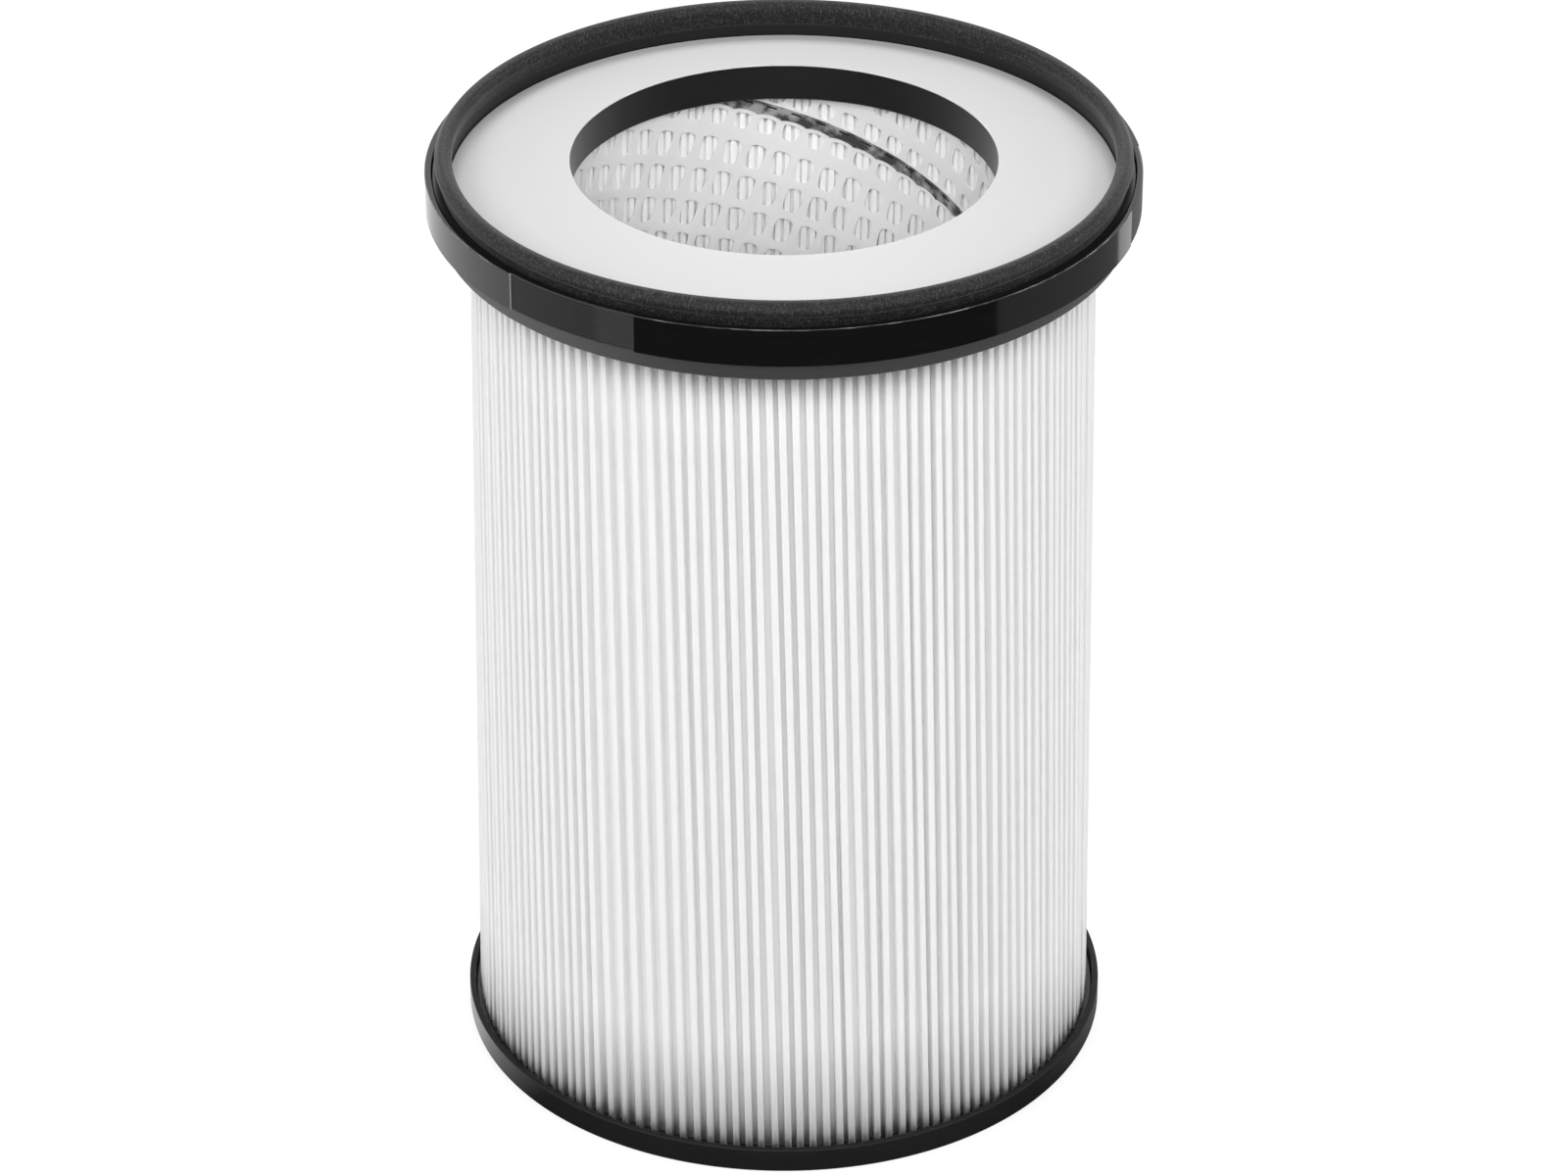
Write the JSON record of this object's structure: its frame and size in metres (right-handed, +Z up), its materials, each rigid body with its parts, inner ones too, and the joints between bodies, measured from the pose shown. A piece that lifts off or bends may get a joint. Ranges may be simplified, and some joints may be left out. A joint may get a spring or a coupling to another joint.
{
  "type": "dust extractor filter",
  "caption": "Upright pleated cartridge filter for a dust extractor, with a perforated liner, a closed bottom pan and a round outlet in a sealed top cap with a ribbed grip ring.",
  "frame": {"origin": "middle of the bottom pan's underside", "axes": "+Z up along the filter's axis towards the outlet, -Y towards the front of the picture"},
  "size_m": [0.3593, 0.3594, 0.5087],
  "materials": {
    "cap_black": "black moulded plastic with a satin skin",
    "resin": "dark cast resin",
    "fleece": "white bonded fleece with a fine embossed grain",
    "liner_white": "white translucent plastic sheet",
    "plate_grey": "light grey smooth moulded plate",
    "seal_rubber": "dark grey cellular rubber",
    "grip_gloss": "glossy black plastic"
  },
  "bodies": {
    "root": {"bottom_end_cap": "cap_black", "bottom_potting": "resin", "pleat_pack": "fleece", "support_liner": "liner_white", "top_potting": "resin", "top_end_cap": "cap_black", "cover_plate": "plate_grey", "seal_ring": "seal_rubber", "grip_ring": "grip_gloss"}
  },
  "joints": []
}
